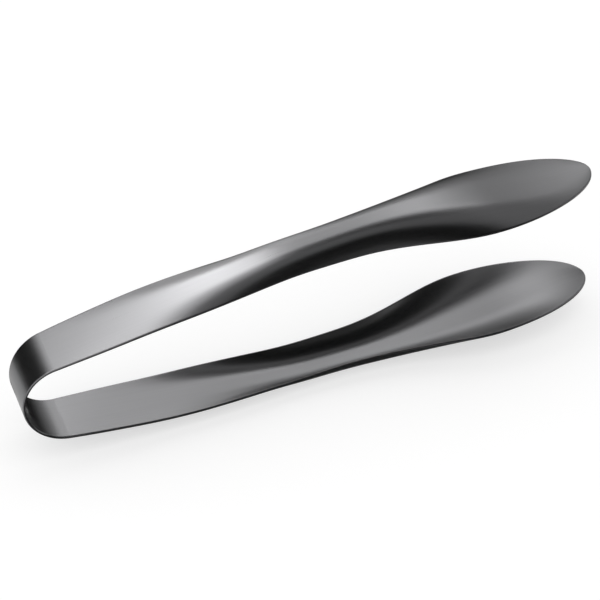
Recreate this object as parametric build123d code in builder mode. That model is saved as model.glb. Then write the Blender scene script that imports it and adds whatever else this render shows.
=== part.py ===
"""Serving tongs: one strip of stainless sheet, bent into a spring bow, with a pressed bowl at each end.

The tongs stand as they do on a table, on the flat under the neck of the lower arm.
X runs from the bow to the tips, Y across the strip, and Z is up.
Places along the strip are measured from the crown of the bow, along the tongs' middle plane.
"""

import os
from math import cos, log, radians, sin, tan

from build123d import *

# Driving dimensions, in millimetres and degrees
overall_length = 230.0
sheet = 1.0

# Side view of one arm: slope of its outer face away from the middle plane
bow_radius = 16.0
handle_slope = 8.4
handle_ends_at = 94.0
flat_slope = 3.3
flat_starts_at = 111.0
flat_ends_at = 128.0
bowl_back_slope = -8.65
bowl_back_at = 186.0
tip_slope = 2.45

# Widths of the strip, and where the handle, the neck and the bowl have theirs
crown_width = 20.4
handle_width = 26.1
handle_widest_at = 61.0
neck_width = 22.1
neck_at = 114.5
bowl_width = 42.4
bowl_widest_at = 182.5
tip_end_width = 1.2
flare_power = 1.35
tip_power = 1.93

# Cross-section: a flat floor between two lips that turn in, steepest at the neck.
# A lip is a row of arcs that each turn equally far, with these shares of its mean radius
floor_share = 0.27
lip_arc_shares = (0.95, 1.05, 0.95)
handle_dished_at = 45.0
lips_start_at = 39.0
lips_steepest_at = 127.0
lips_end_at = 224.0
handle_lip_angle = 4.0
neck_lip_angle = 74.0
tip_lip_angle = 4.0
least_lip_angle = 0.3

# The flat that the tongs stand on is dressed true, this deep
flat_dressing = 0.04

# How many cross-sections shape each stretch of the strip
handle_section_count = 4
neck_section_count = 6
bowl_section_count = 7
tip_section_count = 6


def ease(x, start, end):
    """Rises smoothly from 0 at one place to 1 at another."""
    share = min(max((x - start) / (end - start), 0), 1)
    return share * share * (3 - 2 * share)


def rise(run, slope_start, slope_end):
    """Rise over a run along which the slope changes evenly."""
    if slope_start == slope_end:
        return run * tan(radians(slope_start))
    turn = radians(slope_end - slope_start)
    return run * log(cos(radians(slope_start)) / cos(radians(slope_end))) / turn


def outer_face(x):
    """Distance of an arm's outer face from the middle plane, and its slope there."""
    start, height, slope = seam_at, seam_height, handle_slope
    for end, slope_at_end in arm_slopes:
        reached = min(x, end)
        slope_reached = slope + (slope_at_end - slope) * (reached - start) / (end - start)
        height += rise(reached - start, slope, slope_reached)
        start, slope = reached, slope_reached
        if x <= end:
            break
    return height, slope


def half_width(x):
    """Half the width of the strip at a place along it."""
    if x <= handle_widest_at:
        left = (handle_widest_at - x) / handle_widest_at
        return (handle_width - (handle_width - crown_width) * left * left) / 2
    if x <= neck_at:
        return (handle_width + (neck_width - handle_width) * ease(x, handle_widest_at, neck_at)) / 2
    if x <= bowl_widest_at:
        flare = ((x - neck_at) / (bowl_widest_at - neck_at)) ** flare_power
        return (neck_width + (bowl_width - neck_width) * ease(flare, 0, 1)) / 2
    taper = (x - bowl_widest_at) / tip_reach
    return bowl_width / 2 * (1 - taper**tip_power) ** (1 / tip_power)


def lip_angle(x):
    """How far a lip has turned up from the floor at the edge of the strip."""
    angle = handle_lip_angle * ease(x, seam_at, handle_dished_at)
    angle += (neck_lip_angle - handle_lip_angle) * ease(x, lips_start_at, lips_steepest_at)
    angle += (tip_lip_angle - neck_lip_angle) * ease(x, lips_steepest_at, lips_end_at)
    return max(angle, least_lip_angle)


def lip_reach(angle):
    """How far a lip reaches out sideways, for a mean radius of one."""
    parts = len(lip_arc_shares)
    turns = [sin(radians(angle * i / parts)) for i in range(parts + 1)]
    return sum(share * (end - start) for share, start, end in zip(lip_arc_shares, turns, turns[1:]))


# Where the bow runs into the handles, which is where the joint's two bodies meet
seam_at = bow_radius * (1 - sin(radians(handle_slope)))
seam_height = bow_radius * cos(radians(handle_slope))
bow_sweep = 180 - 2 * handle_slope
arm_slopes = [
    (handle_ends_at, handle_slope),
    (flat_starts_at, flat_slope),
    (flat_ends_at, flat_slope),
    (bowl_back_at, bowl_back_slope),
    (overall_length, tip_slope),
]

# The tip's outline is close to half an ellipse, and its very end is square over the tip's end width
tip_share = (1 - (tip_end_width / bowl_width) ** tip_power) ** (1 / tip_power)
tip_reach = (overall_length - bowl_widest_at) / tip_share

# The middle plane leans back so that the flat under the lower neck lies on the table,
# and the origin is under the middle of the whole length
tip_height = outer_face(overall_length)[0]
lean = radians(flat_slope)
flat_depth = outer_face(flat_starts_at)[0] * cos(lean) - flat_starts_at * sin(lean)
tips_reach = overall_length * cos(lean) + tip_height * sin(lean)
bow_reach = bow_radius * cos(lean) - bow_radius
middle_plane = Plane(
    origin=(-(tips_reach + bow_reach) / 2, 0, flat_depth - flat_dressing),
    x_dir=(cos(lean), 0, sin(lean)),
    z_dir=(-sin(lean), 0, cos(lean)),
)
bow_centre = middle_plane.from_local_coords(Vector(bow_radius, 0, 0))


def across_strip(x):
    """Plane square to the lower arm at a place along it: x runs across the strip, y points in."""
    height, slope = outer_face(x)
    downhill = lean - radians(slope)
    return Plane(
        origin=middle_plane.from_local_coords(Vector(x, 0, -height)),
        x_dir=(0, 1, 0),
        z_dir=(cos(downhill), 0, sin(downhill)),
    )


# Places of the cross-sections: evenly along the handle, neck and bowl, and closing up towards the tip
section_places = [seam_at]
for start, end, count in (
    (seam_at, handle_widest_at, handle_section_count),
    (handle_widest_at, neck_at, neck_section_count),
    (neck_at, bowl_widest_at, bowl_section_count),
):
    section_places += [start + (end - start) * (i + 1) / count for i in range(count)]
for i in range(tip_section_count):
    turned = radians(90 * (i + 1) / tip_section_count)
    section_places.append(bowl_widest_at + (overall_length - bowl_widest_at) * sin(turned))


# One arm, with its outer face down, pressed to a channel at the neck and a shallow bowl at the end
with BuildPart() as pressed_arm:
    for x in section_places:
        angle = lip_angle(x)
        floor = floor_share * half_width(x)
        lip_radius = (half_width(x) - floor) / lip_reach(angle)
        arc_angle = angle / len(lip_arc_shares)
        with BuildSketch(across_strip(x)):
            with BuildLine():
                Line((-floor, 0), (floor, 0))
                Line((-floor, sheet), (floor, sheet))
                rims = []
                for side in (1, -1):
                    for depth in (0, sheet):
                        end, heading = Vector(side * floor, depth), Vector(side, 0)
                        for share in lip_arc_shares:
                            arc = JernArc(end, heading, share * lip_radius - depth, side * arc_angle)
                            end, heading = arc @ 1, arc % 1
                        rims.append(end)
                Line(rims[0], rims[1])
                Line(rims[2], rims[3])
            make_face()
    loft()

with BuildPart() as lower_arm:
    add(pressed_arm.part)
    split(bisect_by=Plane.XY, keep=Keep.TOP)
lower_arm.part.label = "lower_arm"

# The bow, a round spring between the two handles, as wide as the strip is there
with BuildPart() as spring_bow:
    with BuildSketch(Plane(bow_centre, x_dir=middle_plane.x_dir, z_dir=(0, -1, 0))):
        with BuildLine():
            outside = CenterArc((0, 0), bow_radius, 90 + handle_slope, bow_sweep)
            inside = CenterArc((0, 0), bow_radius - sheet, 90 + handle_slope, bow_sweep)
            Line(outside @ 0, inside @ 0)
            Line(outside @ 1, inside @ 1)
        make_face()
    extrude(amount=handle_width / 2, both=True)
    with BuildSketch(middle_plane):
        with BuildLine():
            Line((0, -crown_width / 2), (0, crown_width / 2))
            for side in (1, -1):
                Bezier(
                    (0, side * crown_width / 2),
                    (handle_widest_at / 2, side * handle_width / 2),
                    (handle_widest_at, side * handle_width / 2),
                )
            Line((handle_widest_at, -handle_width / 2), (handle_widest_at, handle_width / 2))
        make_face()
    extrude(amount=bow_radius, both=True, mode=Mode.INTERSECT)
spring_bow.part.label = "spring_bow"

with BuildPart() as upper_arm:
    mirror(pressed_arm.part, about=middle_plane)
upper_arm.part.label = "upper_arm"

print("bow centre, where the arms hinge:", bow_centre)
os.makedirs("parts", exist_ok=True)
export_step(lower_arm.part, "parts/lower_arm.step")
export_step(spring_bow.part, "parts/spring_bow.step")
export_step(upper_arm.part, "parts/upper_arm.step")
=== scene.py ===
"""Looks of the serving tongs: one strip of dark satin steel, pressed and bent as the real one is.

Each arm starts as a flat blank. Its lips are turned up, it is bent to its side view and it gets its
thickness. The bow is a cross line of the same strip, spun round to join the two handles.
The tongs' own frame has X along their middle plane from the crown of the bow to the tips, Y across
the strip and Z square to the plane. It leans back on the table.
"""

from math import atan2, cos, log, radians, sin, tan

import bmesh
import bpy
from mathutils import Matrix, Vector


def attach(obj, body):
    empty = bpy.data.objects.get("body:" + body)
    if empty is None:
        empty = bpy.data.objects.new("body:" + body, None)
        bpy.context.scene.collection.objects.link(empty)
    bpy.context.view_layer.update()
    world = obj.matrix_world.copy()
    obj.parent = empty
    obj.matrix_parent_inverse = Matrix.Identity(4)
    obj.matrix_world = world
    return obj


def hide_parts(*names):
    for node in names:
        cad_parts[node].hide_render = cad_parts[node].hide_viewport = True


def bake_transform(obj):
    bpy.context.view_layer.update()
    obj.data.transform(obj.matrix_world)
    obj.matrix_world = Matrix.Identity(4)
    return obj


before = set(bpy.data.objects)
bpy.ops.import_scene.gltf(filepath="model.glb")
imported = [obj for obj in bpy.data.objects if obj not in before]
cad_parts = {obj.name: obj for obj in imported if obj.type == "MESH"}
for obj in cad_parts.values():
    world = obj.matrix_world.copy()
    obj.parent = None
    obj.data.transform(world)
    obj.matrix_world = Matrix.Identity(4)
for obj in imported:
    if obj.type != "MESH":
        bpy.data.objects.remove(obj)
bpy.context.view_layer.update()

MM = 0.001

# Side view of one arm, as slopes of its outer face away from the middle plane
LENGTH = 230 * MM
SHEET = 1.0 * MM
BOW_RADIUS = 16 * MM
HANDLE_SLOPE = radians(8.4)
HANDLE_ENDS_AT = 94 * MM
FLAT_SLOPE = radians(3.3)
FLAT_STARTS_AT = 111 * MM
FLAT_ENDS_AT = 128 * MM
BOWL_BACK_SLOPE = radians(-8.65)
BOWL_BACK_AT = 186 * MM
TIP_SLOPE = radians(2.45)
FLAT_DRESSING = 0.04 * MM

# Widths of the strip
CROWN_WIDTH = 20.4 * MM
HANDLE_WIDTH = 26.1 * MM
HANDLE_WIDEST_AT = 61 * MM
NECK_WIDTH = 22.1 * MM
NECK_AT = 114.5 * MM
BOWL_WIDTH = 42.4 * MM
BOWL_WIDEST_AT = 182.5 * MM
TIP_END_WIDTH = 1.2 * MM
FLARE_POWER = 1.35
TIP_POWER = 1.93

# Cross-section: a flat floor between two lips
FLOOR_SHARE = 0.27
HANDLE_DISHED_AT = 45 * MM
LIPS_START_AT = 39 * MM
LIPS_STEEPEST_AT = 127 * MM
LIPS_END_AT = 224 * MM
HANDLE_LIP_ANGLE = radians(4)
NECK_LIP_ANGLE = radians(74)
TIP_LIP_ANGLE = radians(4)
LEAST_LIP_ANGLE = radians(0.3)

# How finely the blank is divided: rows along it, and columns from its middle line to its rim
ARM_ROWS = 32
TIP_ROWS = 12
BOW_ROWS = 56
FLOOR_COLUMNS = 2
LIP_COLUMNS = 5
COLUMNS = FLOOR_COLUMNS + LIP_COLUMNS + 1

# The last column is a narrow hem, which smoothing turns into the rounded edge of the sheet.
# It stands out by about as much as the rounding takes away
HEM = 0.35 * MM
HEM_SHARE = 0.2
ROUNDING_ALLOWANCE = 0.7
SMOOTHING = 2
SHARPEST_SMOOTH_EDGE = radians(50)

# How close a vertex has to be to count as being at a place, or at an angle about the bow's centre
A_HAIR = 0.001 * MM
A_HAIRS_TURN = radians(0.1)
NEAR_BOW_END = radians(1)

# Camera, where the photograph was taken from: it looks at the middle of the tongs from above
FOCAL_LENGTH = 86.79
SHIFT_X = -0.02927
SHIFT_Y = 0.00619
VIEW_TURN = radians(-20.245)
VIEW_HEIGHT = radians(37.004)
VIEW_ROLL = radians(-4.786)
VIEW_DISTANCE = 538.73 * MM

# Steel: streaks as a width and a length, and what they do to the colour, roughness and surface
FINE_WIDTH, FINE_LENGTH = 0.22 * MM, 30 * MM
BROAD_WIDTH, BROAD_LENGTH = 0.8 * MM, 90 * MM
BROAD_SHARE = 0.4
STREAK_DETAIL = 3
DARK_STREAK = (0.185, 0.185, 0.189, 1)
LIGHT_STREAK = (0.215, 0.215, 0.221, 1)
SMOOTHEST, ROUGHEST = 0.26, 0.32
SCRATCH_STRENGTH = 0.2
SCRATCH_DEPTH = 0.004 * MM

# Light table: its own colour under the white world, and the glow that makes it white
TABLE_SIZE = 6
TABLE_COLOUR = (0.45, 0.45, 0.45)
TABLE_GLOW = 0.58
BLACK = (0, 0, 0)
WHITE = (1, 1, 1, 1)


def ease(x, start, end):
    """Rises smoothly from 0 at one place to 1 at another."""
    share = min(max((x - start) / (end - start), 0), 1)
    return share * share * (3 - 2 * share)


def rise(run, slope_start, slope_end):
    """Rise over a run along which the slope changes evenly."""
    if slope_start == slope_end:
        return run * tan(slope_start)
    return run * log(cos(slope_start) / cos(slope_end)) / (slope_end - slope_start)


SEAM_AT = BOW_RADIUS * (1 - sin(HANDLE_SLOPE))
SEAM_HEIGHT = BOW_RADIUS * cos(HANDLE_SLOPE)
HALF_SWEEP = radians(90) - HANDLE_SLOPE
BOW_LENGTH = BOW_RADIUS * HALF_SWEEP
ARM_SLOPES = (
    (HANDLE_ENDS_AT, HANDLE_SLOPE),
    (FLAT_STARTS_AT, FLAT_SLOPE),
    (FLAT_ENDS_AT, FLAT_SLOPE),
    (BOWL_BACK_AT, BOWL_BACK_SLOPE),
    (LENGTH, TIP_SLOPE),
)
TIP_SHARE = (1 - (TIP_END_WIDTH / BOWL_WIDTH) ** TIP_POWER) ** (1 / TIP_POWER)
TIP_REACH = (LENGTH - BOWL_WIDEST_AT) / TIP_SHARE


def outer_face(x):
    """Distance of an arm's outer face from the middle plane, and its slope there."""
    start, height, slope = SEAM_AT, SEAM_HEIGHT, HANDLE_SLOPE
    for end, slope_at_end in ARM_SLOPES:
        reached = min(x, end)
        slope_reached = slope + (slope_at_end - slope) * (reached - start) / (end - start)
        height += rise(reached - start, slope, slope_reached)
        start, slope = reached, slope_reached
        if x <= end:
            break
    return height, slope


def half_width(x):
    """Half the width of the strip at a place along it."""
    if x <= HANDLE_WIDEST_AT:
        left = (HANDLE_WIDEST_AT - x) / HANDLE_WIDEST_AT
        return (HANDLE_WIDTH - (HANDLE_WIDTH - CROWN_WIDTH) * left * left) / 2
    if x <= NECK_AT:
        return (HANDLE_WIDTH + (NECK_WIDTH - HANDLE_WIDTH) * ease(x, HANDLE_WIDEST_AT, NECK_AT)) / 2
    if x <= BOWL_WIDEST_AT:
        flare = ((x - NECK_AT) / (BOWL_WIDEST_AT - NECK_AT)) ** FLARE_POWER
        return (NECK_WIDTH + (BOWL_WIDTH - NECK_WIDTH) * ease(flare, 0, 1)) / 2
    taper = (x - BOWL_WIDEST_AT) / TIP_REACH
    return BOWL_WIDTH / 2 * (1 - taper**TIP_POWER) ** (1 / TIP_POWER)


def lip_angle(x):
    """How far a lip has turned up from the floor at the edge of the strip."""
    angle = HANDLE_LIP_ANGLE * ease(x, SEAM_AT, HANDLE_DISHED_AT)
    angle += (NECK_LIP_ANGLE - HANDLE_LIP_ANGLE) * ease(x, LIPS_START_AT, LIPS_STEEPEST_AT)
    angle += (TIP_LIP_ANGLE - NECK_LIP_ANGLE) * ease(x, LIPS_STEEPEST_AT, LIPS_END_AT)
    return max(angle, LEAST_LIP_ANGLE)


def flat_sizes(x):
    """How far a lip has turned up at a place, and the widths of the flat floor, lip and hem there."""
    angle = lip_angle(x)
    floor = FLOOR_SHARE * half_width(x)
    lip = (half_width(x) - floor) * angle / sin(angle)
    return angle, floor, lip, min(HEM, HEM_SHARE * lip)


# The tongs' own frame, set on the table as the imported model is
LEAN = FLAT_SLOPE
TIP_HEIGHT = outer_face(LENGTH)[0]
FLAT_DEPTH = outer_face(FLAT_STARTS_AT)[0] * cos(LEAN) - FLAT_STARTS_AT * sin(LEAN)
TIPS_REACH = LENGTH * cos(LEAN) + TIP_HEIGHT * sin(LEAN)
BOW_REACH = BOW_RADIUS * cos(LEAN) - BOW_RADIUS
CROWN = Vector((-(TIPS_REACH + BOW_REACH) / 2, 0, FLAT_DEPTH - FLAT_DRESSING))
ON_TABLE = Matrix.Translation(CROWN) @ Matrix.Rotation(-LEAN, 4, "Y")


# Modelling helpers
def select_where(chosen):
    """Selects the vertices of the mesh in edit mode whose place passes a test."""
    mesh = bmesh.from_edit_mesh(bpy.context.edit_object.data)
    for vertex in mesh.verts:
        vertex.select_set(chosen(vertex.co))
    mesh.select_flush(True)
    mesh.select_flush(False)


def select_row(x, beyond=None):
    """Selects a row across the flat blank, or only its part beyond a place to one side."""
    if beyond is None:
        select_where(lambda co: abs(co.x - x) < A_HAIR)
    elif beyond > 0:
        select_where(lambda co: abs(co.x - x) < A_HAIR and co.y > beyond + A_HAIR)
    else:
        select_where(lambda co: abs(co.x - x) < A_HAIR and co.y < beyond - A_HAIR)


def select_column(x, y):
    """Selects the two vertices of a row that are this far from the middle of the strip."""
    select_where(lambda co: abs(co.x - x) < A_HAIR and abs(abs(co.y) - y) < A_HAIR)


def turn(angle, axis, about):
    """Rotates what is selected by the right-hand rule."""
    bpy.ops.transform.rotate(value=-angle, orient_axis=axis, center_override=about)


def widen(ratio):
    bpy.ops.transform.resize(value=(1, ratio, 1), center_override=(0, 0, 0))


def shift(x, z=0):
    bpy.ops.transform.translate(value=(x, 0, z))


def lay_columns(x, floor, lip, hem):
    """Gives the selected row its flat width, and its columns their places on the floor and the lips."""
    edge = floor + lip + ROUNDING_ALLOWANCE * hem
    widen(2 * edge)
    columns = [floor * (i + 1) / FLOOR_COLUMNS for i in range(FLOOR_COLUMNS)]
    columns += [floor + (lip - hem) * (i + 1) / LIP_COLUMNS for i in range(LIP_COLUMNS)]
    for i, y in enumerate(columns):
        even = edge * (i + 1) / COLUMNS
        select_column(x, even)
        widen(y / even)


def new_piece(name):
    """Names the primitive that was just added, and opens it in edit mode."""
    piece = bpy.context.object
    piece.name = piece.data.name = name
    bpy.ops.object.mode_set(mode="EDIT")
    return piece


def lay_grain(piece, place_on_strip):
    """Lays the grain map in metres along and across the strip as it is before it is bent."""
    mesh = bmesh.from_edit_mesh(piece.data)
    grain = mesh.loops.layers.uv.verify()
    for face in mesh.faces:
        for corner in face.loops:
            corner[grain].uv = place_on_strip(corner.vert.co)
    bmesh.update_edit_mesh(piece.data)


def apply_modifier(piece, name, kind, **settings):
    bpy.context.view_layer.objects.active = piece
    modifier = piece.modifiers.new(name, kind)
    for setting, value in settings.items():
        setattr(modifier, setting, value)
    bpy.ops.object.modifier_apply(modifier=name)


def only(piece):
    """Selects one object and nothing else."""
    bpy.ops.object.select_all(action="DESELECT")
    piece.select_set(True)
    bpy.context.view_layer.objects.active = piece


def give_thickness(piece, outward, at_a_seam):
    """Thickens a bent sheet inwards, keeps its ends square where it is cut, and rounds its edges."""
    only(piece)
    bpy.ops.object.mode_set(mode="EDIT")
    bpy.ops.mesh.select_all(action="SELECT")
    bpy.ops.mesh.remove_doubles(threshold=A_HAIR)
    bpy.ops.mesh.normals_make_consistent(inside=False)
    mesh = bmesh.from_edit_mesh(piece.data)
    if sum(face.normal.dot(outward(face.calc_center_median())) for face in mesh.faces) < 0:
        bpy.ops.mesh.flip_normals()
    bpy.ops.object.mode_set(mode="OBJECT")
    apply_modifier(piece, "thickness", "SOLIDIFY", thickness=SHEET, offset=-1, use_even_offset=True)

    bpy.ops.object.mode_set(mode="EDIT")
    select_where(at_a_seam)
    bpy.ops.transform.edge_crease(value=1)
    bpy.ops.object.mode_set(mode="OBJECT")
    apply_modifier(piece, "rounding", "SUBSURF", levels=SMOOTHING, render_levels=SMOOTHING)
    bpy.ops.object.shade_smooth_by_angle(angle=SHARPEST_SMOOTH_EDGE)


def set_on_table(piece):
    """Leans the piece back with the tongs' own frame, and keeps its place in its mesh."""
    only(piece)
    piece.matrix_world = ON_TABLE
    bpy.ops.object.transform_apply(location=True, rotation=True, scale=True)


bpy.ops.object.select_all(action="DESELECT")


camera_data = bpy.data.cameras.new("camera")
camera_data.lens = FOCAL_LENGTH
camera_data.shift_x = SHIFT_X
camera_data.shift_y = SHIFT_Y
camera = bpy.data.objects.new("camera", camera_data)
bpy.context.collection.objects.link(camera)
camera.matrix_world = (
    ON_TABLE
    @ Matrix.Translation((LENGTH / 2, 0, 0))
    @ Matrix.Rotation(VIEW_TURN, 4, "Z")
    @ Matrix.Rotation(radians(90) - VIEW_HEIGHT, 4, "X")
    @ Matrix.Rotation(VIEW_ROLL, 4, "Z")
    @ Matrix.Translation((0, 0, VIEW_DISTANCE))
)
bpy.context.scene.camera = camera

# Arm: the blank, with its rows at their stations and its columns on the floor and the lips
stations = [SEAM_AT + (BOWL_WIDEST_AT - SEAM_AT) * i / ARM_ROWS for i in range(ARM_ROWS + 1)]
stations += [
    BOWL_WIDEST_AT + (LENGTH - BOWL_WIDEST_AT) * sin(radians(90) * (i + 1) / TIP_ROWS)
    for i in range(TIP_ROWS)
]
arm_length = LENGTH - SEAM_AT
bpy.ops.mesh.primitive_grid_add(
    x_subdivisions=len(stations) - 1, y_subdivisions=2 * COLUMNS, size=1, location=(0, 0, 0)
)
lower_arm = new_piece("lower_arm_strip")
bpy.ops.transform.resize(value=(arm_length, 1, 1), center_override=(0, 0, 0))
shift(SEAM_AT + arm_length / 2)

for row in reversed(range(len(stations))):
    x = stations[row]
    evenly_at = SEAM_AT + arm_length * row / (len(stations) - 1)
    angle, floor, lip, hem = flat_sizes(x)
    select_row(evenly_at)
    shift(x - evenly_at)
    lay_columns(x, floor, lip, hem)

lay_grain(lower_arm, lambda co: (-BOW_LENGTH - (co.x - SEAM_AT), co.y))

# The lips, folded up column by column from the hem inwards
for x in stations:
    angle, floor, lip, hem = flat_sizes(x)
    folds = [floor + (lip - hem) * i / LIP_COLUMNS for i in range(LIP_COLUMNS + 1)]
    edges = [floor] + folds + [floor + lip]
    for i in reversed(range(len(folds))):
        fold = angle * (edges[i + 2] - edges[i]) / 2 / lip
        for side in (1, -1):
            select_row(x, beyond=side * folds[i])
            turn(side * fold, "X", (x, side * folds[i], 0))

# The side view: each row square to the slope of the arm, at its height below the middle plane
for x in reversed(stations):
    height, slope = outer_face(x)
    select_row(x)
    turn(slope, "Y", (x, 0, 0))
    shift(0, -height)
bpy.ops.object.mode_set(mode="OBJECT")

# The upper arm is the same pressing, turned over
only(lower_arm)
bpy.ops.object.duplicate()
upper_arm = bpy.context.object
upper_arm.name = upper_arm.data.name = "upper_arm_strip"
upper_arm.scale.z = -1
bpy.ops.object.transform_apply(location=True, rotation=True, scale=True)
for corner in upper_arm.data.uv_layers.active.data:
    corner.uv.x = -corner.uv.x


def at_arm_seam(co):
    """Tells whether a place on an arm is on the cut where the bow joins it."""
    along = (co.x - SEAM_AT) * cos(HANDLE_SLOPE) + (abs(co.z) - SEAM_HEIGHT) * sin(HANDLE_SLOPE)
    return along < 2 * A_HAIR


give_thickness(lower_arm, lambda co: Vector((0, 0, -1)), at_arm_seam)
give_thickness(upper_arm, lambda co: Vector((0, 0, 1)), at_arm_seam)

# Bow: the strip's cross line at the lower handle, spun round to the upper one
bow_centre = Vector((BOW_RADIUS, 0, 0))
seam = Vector((SEAM_AT, 0, -SEAM_HEIGHT))
bpy.ops.mesh.primitive_grid_add(x_subdivisions=1, y_subdivisions=2 * COLUMNS, size=1, location=(0, 0, 0))
bow = new_piece("spring_bow_strip")
select_where(lambda co: co.x > 0)
bpy.ops.mesh.delete(type="VERT")
select_where(lambda co: True)
shift(0.5)
angle, floor, lip, hem = flat_sizes(SEAM_AT)
lay_columns(0, floor, lip, hem)
select_where(lambda co: True)
shift(seam.x, seam.z)
bpy.ops.mesh.spin(steps=BOW_ROWS, angle=-2 * HALF_SWEEP, center=bow_centre, axis=(0, 1, 0))


def round_bow(co):
    """Angle about the bow's centre, from the crown towards the upper handle."""
    return atan2(co.z, BOW_RADIUS - co.x)


for row in range(BOW_ROWS + 1):
    angle = HALF_SWEEP * (2 * row / BOW_ROWS - 1)
    select_where(lambda co: abs(round_bow(co) - angle) < A_HAIRS_TURN)
    widen(half_width(BOW_RADIUS * (1 - cos(angle))) / half_width(SEAM_AT))
lay_grain(bow, lambda co: (BOW_RADIUS * round_bow(co), co.y))
bpy.ops.object.mode_set(mode="OBJECT")
give_thickness(bow, lambda co: co - bow_centre, lambda co: abs(round_bow(co)) > HALF_SWEEP - NEAR_BOW_END)

for piece in (lower_arm, bow, upper_arm):
    set_on_table(piece)

# The flat under the lower neck is dressed true
only(lower_arm)
bpy.ops.object.mode_set(mode="EDIT")
select_where(lambda co: co.z < 0)
bpy.ops.transform.resize(value=(1, 1, 0), center_override=(0, 0, 0))
bpy.ops.object.mode_set(mode="OBJECT")


# Satin steel, brushed along the strip
def brushed_grain():
    """Streaks along the strip, from the grain map in metres: their height, and a mask round a half."""
    grain = bpy.data.node_groups.new("brushed grain", "ShaderNodeTree")
    for name, value in (
        ("Fine width", FINE_WIDTH),
        ("Broad width", BROAD_WIDTH),
        ("Broad share", BROAD_SHARE),
    ):
        socket = grain.interface.new_socket(name, in_out="INPUT", socket_type="NodeSocketFloat")
        socket.default_value = value
    for name in ("Height", "Mask"):
        grain.interface.new_socket(name, in_out="OUTPUT", socket_type="NodeSocketFloat")
    nodes, links = grain.nodes, grain.links
    given, result = nodes.new("NodeGroupInput"), nodes.new("NodeGroupOutput")
    strip = nodes.new("ShaderNodeUVMap")
    strip.uv_map = "UVMap"
    along_across = nodes.new("ShaderNodeSeparateXYZ")
    links.new(strip.outputs["UV"], along_across.inputs[0])
    streaks = []
    for name, length in (("Fine width", FINE_LENGTH), ("Broad width", BROAD_LENGTH)):
        across = nodes.new("ShaderNodeMath")
        across.operation = "DIVIDE"
        links.new(along_across.outputs["Y"], across.inputs[0])
        links.new(given.outputs[name], across.inputs[1])
        along = nodes.new("ShaderNodeMath")
        along.operation = "DIVIDE"
        along.inputs[1].default_value = length
        links.new(along_across.outputs["X"], along.inputs[0])
        place = nodes.new("ShaderNodeCombineXYZ")
        links.new(along.outputs[0], place.inputs["X"])
        links.new(across.outputs[0], place.inputs["Y"])
        noise = nodes.new("ShaderNodeTexNoise")
        noise.noise_dimensions = "2D"
        noise.inputs["Scale"].default_value = 1
        noise.inputs["Detail"].default_value = STREAK_DETAIL
        links.new(place.outputs[0], noise.inputs["Vector"])
        streaks.append(noise.outputs["Fac"])
    both = nodes.new("ShaderNodeMix")
    links.new(given.outputs["Broad share"], both.inputs["Factor"])
    links.new(streaks[0], both.inputs["A"])
    links.new(streaks[1], both.inputs["B"])
    links.new(both.outputs["Result"], result.inputs["Mask"])
    links.new(streaks[0], result.inputs["Height"])
    return grain


steel = bpy.data.materials.new("satin steel")
steel.use_nodes = True
nodes, links = steel.node_tree.nodes, steel.node_tree.links
shader = nodes["Principled BSDF"]
shader.inputs["Metallic"].default_value = 1
grain = nodes.new("ShaderNodeGroup")
grain.node_tree = brushed_grain()
tone = nodes.new("ShaderNodeMix")
tone.data_type = "RGBA"
tone.inputs["A"].default_value = DARK_STREAK
tone.inputs["B"].default_value = LIGHT_STREAK
links.new(grain.outputs["Mask"], tone.inputs["Factor"])
links.new(tone.outputs["Result"], shader.inputs["Base Color"])
satin = nodes.new("ShaderNodeMapRange")
satin.inputs["To Min"].default_value = SMOOTHEST
satin.inputs["To Max"].default_value = ROUGHEST
links.new(grain.outputs["Mask"], satin.inputs["Value"])
links.new(satin.outputs["Result"], shader.inputs["Roughness"])
scratches = nodes.new("ShaderNodeBump")
scratches.inputs["Strength"].default_value = SCRATCH_STRENGTH
scratches.inputs["Distance"].default_value = SCRATCH_DEPTH
links.new(grain.outputs["Height"], scratches.inputs["Height"])
links.new(scratches.outputs["Normal"], shader.inputs["Normal"])

for piece in (lower_arm, bow, upper_arm):
    piece.data.materials.append(steel)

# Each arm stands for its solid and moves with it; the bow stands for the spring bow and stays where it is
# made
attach(lower_arm, "lower_half")
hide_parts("lower_arm")
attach(upper_arm, "upper_half")
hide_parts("upper_arm")
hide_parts("spring_bow")
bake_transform(bow)


# Studio: a white light table under even white light, a softbox behind, and black cards all round.
# The softbox and the cards are there for the steel to reflect, so only reflections see them
def plain_finish(name, colour, strength=0):
    """A matt material that can glow white."""
    finish = bpy.data.materials.new(name)
    finish.use_nodes = True
    shader = finish.node_tree.nodes["Principled BSDF"]
    shader.inputs["Base Color"].default_value = (*colour, 1)
    shader.inputs["Roughness"].default_value = 1
    shader.inputs["Specular IOR Level"].default_value = 0
    shader.inputs["Emission Color"].default_value = WHITE
    shader.inputs["Emission Strength"].default_value = strength
    return finish


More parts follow.
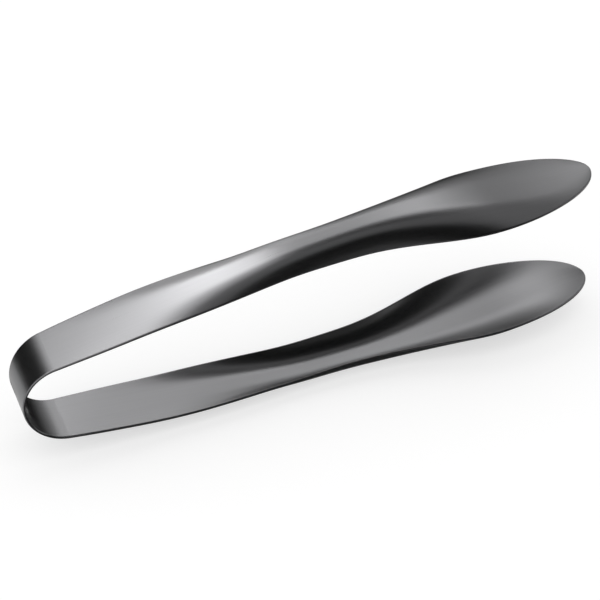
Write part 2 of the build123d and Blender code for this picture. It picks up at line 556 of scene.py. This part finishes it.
def card(name, x, y, z, light=0, far_light=None, along="X"):
    """A flat studio card that only reflections see, between two places in each direction.

    It glows evenly, or its light changes from one edge to the opposite one.
    """
    low, high = Vector((x[0], y[0], z[0])), Vector((x[1], y[1], z[1]))
    bpy.ops.mesh.primitive_plane_add(size=1)
    sheet = bpy.context.object
    sheet.name = sheet.data.name = name
    sheet.location = (low + high) / 2
    if y[0] == y[1]:
        sheet.rotation_euler = (radians(90), 0, 0)
        sheet.scale = (x[1] - x[0], z[1] - z[0], 1)
    else:
        sheet.scale = (x[1] - x[0], y[1] - y[0], 1)
    finish = plain_finish(name, BLACK, light)
    if far_light is not None:
        nodes, links = finish.node_tree.nodes, finish.node_tree.links
        place = nodes.new("ShaderNodeTexCoord")
        split = nodes.new("ShaderNodeSeparateXYZ")
        ramp = nodes.new("ShaderNodeMapRange")
        ramp.inputs["From Min"].default_value = -0.5
        ramp.inputs["From Max"].default_value = 0.5
        ramp.inputs["To Min"].default_value = light
        ramp.inputs["To Max"].default_value = far_light
        links.new(place.outputs["Object"], split.inputs[0])
        links.new(split.outputs[along], ramp.inputs["Value"])
        links.new(ramp.outputs["Result"], nodes["Principled BSDF"].inputs["Emission Strength"])
    sheet.data.materials.append(finish)
    for ray in ("camera", "diffuse", "shadow", "transmission", "volume_scatter"):
        setattr(sheet, "visible_" + ray, False)


bpy.ops.mesh.primitive_plane_add(size=TABLE_SIZE, location=(0, 0, 0))
floor_sheet = bpy.context.object
floor_sheet.name = "floor"

# The table's glow is for the view and for reflections alone. It's white, lights nothing and keeps the shadow
light_table = plain_finish("light table", TABLE_COLOUR)
nodes, links = light_table.node_tree.nodes, light_table.node_tree.links
ray = nodes.new("ShaderNodeLightPath")
seen = ray.outputs["Is Camera Ray"]
for kind in ("Is Glossy Ray", "Is Transmission Ray"):
    either = nodes.new("ShaderNodeMath")
    either.operation = "MAXIMUM"
    links.new(seen, either.inputs[0])
    links.new(ray.outputs[kind], either.inputs[1])
    seen = either.outputs[0]
glow = nodes.new("ShaderNodeMath")
glow.operation = "MULTIPLY"
glow.inputs[1].default_value = TABLE_GLOW
links.new(seen, glow.inputs[0])
links.new(glow.outputs[0], nodes["Principled BSDF"].inputs["Emission Strength"])
floor_sheet.data.materials.append(light_table)

# Overhead: black, with the softbox behind the bow, a fill panel behind the bowls and dim cards above
TOP = (0.40, 0.40)
OVER_TOP = (0.401, 0.401)
card("black_top_behind", (-0.70, 0.65), (0.15, 0.60), OVER_TOP)
card("black_top_in_front", (-0.12, 0.65), (-0.80, 0.15), OVER_TOP)
card("softbox_fall_off", (-0.35, -0.06), (0.25, 0.60), TOP, 0.2, 3.8)
card("softbox", (-0.06, 0.00), (0.25, 0.60), TOP, 0, 14, "Y")
card("softbox_front", (-0.35, 0.00), (0.15, 0.25), TOP, 5, 1)
card("ridge_light", (0.00, 0.05), (0.36, 0.44), TOP, 5, 2)
card("fill_panel", (0.06, 0.25), (0.35, 0.60), TOP, 1.2, 2.5)
card("fill_panel_bright", (0.25, 0.33), (0.34, 0.60), TOP, 3.0, 3.5)
card("fill_fall_off", (0.33, 0.40), (0.34, 0.42), TOP, 4.2, 1.0)
card("fill_far_corner", (0.38, 0.50), (0.54, 0.60), TOP, 1.8)
card("dim_over_bowl", (0.22, 0.60), (0.15, 0.35), TOP, 0.5, 0)
card("dim_over_handle", (-0.12, 0.22), (-0.05, 0.15), TOP, 0.3)
card("dim_over_tip", (0.22, 0.60), (-0.05, 0.15), TOP, 0.45)

# Behind: black, with three glows that brighten upwards
BACK = (0.30, 0.30)
BEHIND_BACK = (0.301, 0.301)
BACK_HEIGHT = (0.00, 0.23)
card("black_back", (-0.70, 0.70), BEHIND_BACK, BACK_HEIGHT)
card("glow_behind_handles", (-0.05, 0.075), BACK, BACK_HEIGHT, 0.6, 1.7, "Y")
card("glow_behind_bowls", (0.075, 0.26), BACK, BACK_HEIGHT, 0, 0.7, "Y")
card("glow_behind_tips", (0.26, 0.70), BACK, BACK_HEIGHT, 0, 0.4, "Y")

# In front, and just above the table beside the tongs
FRONT = (-0.80, -0.80)
LOW = (0.0005, 0.0005)
card("dark_front", (-0.08, 0.85), FRONT, (0.00, 0.40), 0.08)
card("dark_table_front", (-0.12, 0.50), (-0.50, -0.008), LOW, 0.05)
card("black_table_behind", (-0.12, 0.50), (0.03, 0.30), LOW)
card("dim_table_back_left", (-0.50, -0.12), (0.12, 0.30), LOW, 0.2)
card("dim_table_left", (-0.50, -0.12), (-0.50, 0.12), LOW, 0.75)

world = bpy.data.worlds.new("studio")
bpy.context.scene.world = world
world.use_nodes = True
world.node_tree.nodes["Background"].inputs["Color"].default_value = WHITE

bpy.context.scene.view_settings.view_transform = "Standard"
